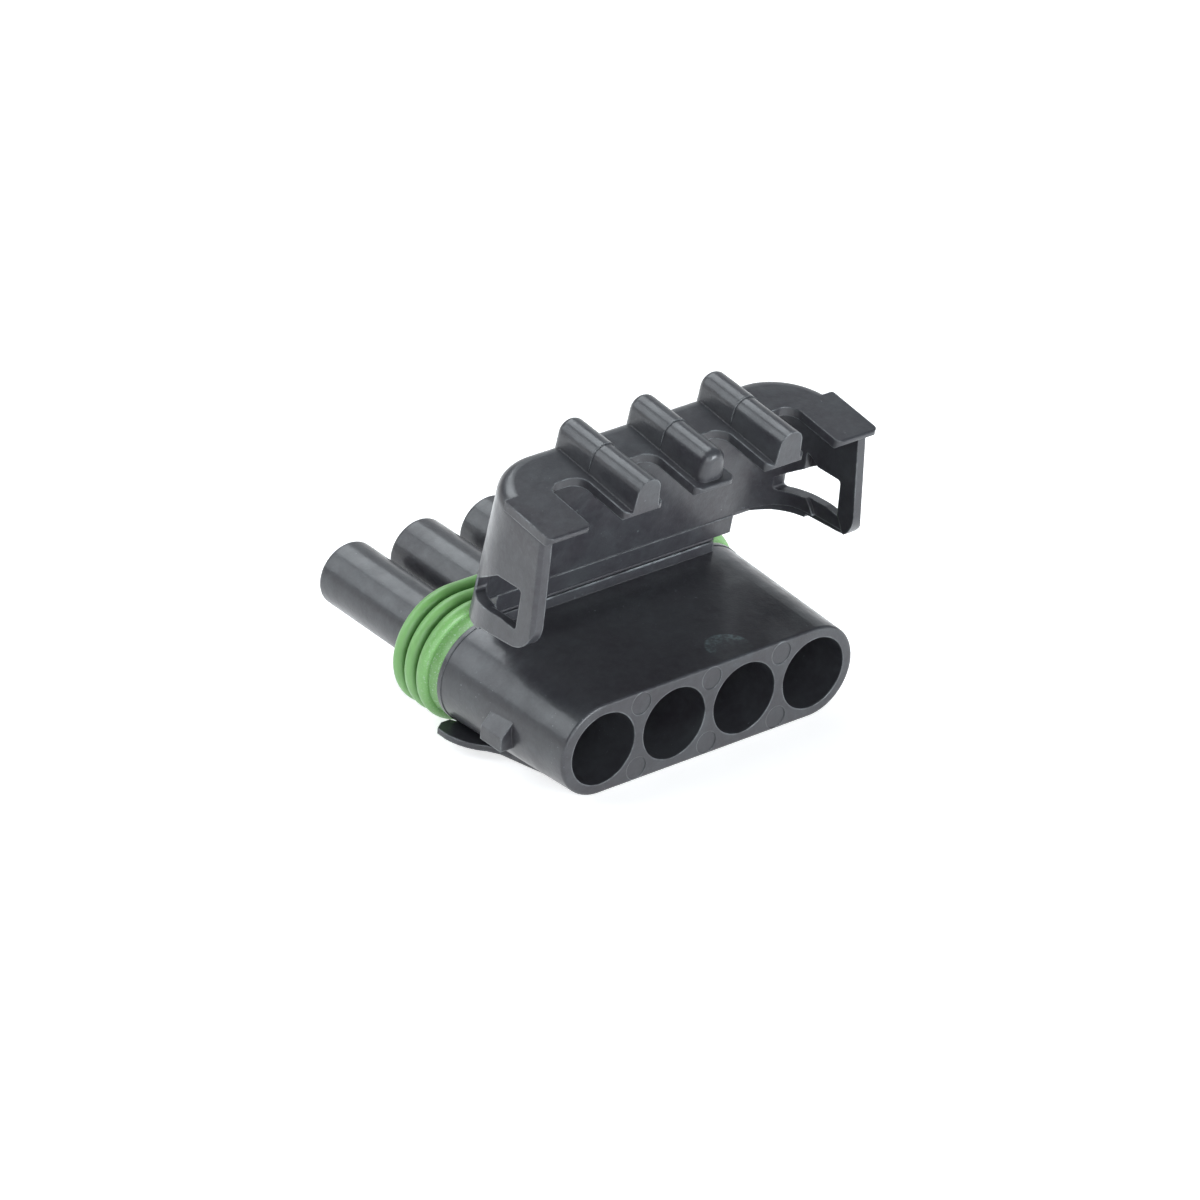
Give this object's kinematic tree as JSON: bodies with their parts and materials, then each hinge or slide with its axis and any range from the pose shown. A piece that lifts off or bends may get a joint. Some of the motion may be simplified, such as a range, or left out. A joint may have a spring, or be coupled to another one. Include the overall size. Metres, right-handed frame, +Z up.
{
  "type": "sealed electrical connector housing",
  "caption": "Flat oval in-line electrical connector half with plug towers, a ribbed ring seal and a hinged lock flap over its wire end.",
  "frame": {"origin": "middle of the row of cavities, in the face where the wires enter", "axes": "+X across the row of cavities, +Y from the wire end to the tower tips, +Z up through the hinge of the lock flap"},
  "size_m": [0.0332, 0.0319, 0.0282],
  "materials": {
    "housing_plastic": "satin",
    "seal_rubber": "satin"
  },
  "bodies": {
    "connector": {"housing": "housing_plastic", "ring_seal": "seal_rubber"},
    "flap": {"lock_flap": "housing_plastic"}
  },
  "joints": [
    {"name": "flap_hinge", "type": "hinge", "parent": "connector", "child": "flap", "pos_m": [0, 0.0134, 0.00545], "axis": [1, 0, 0], "range_deg": [-30, 82]}
  ]
}
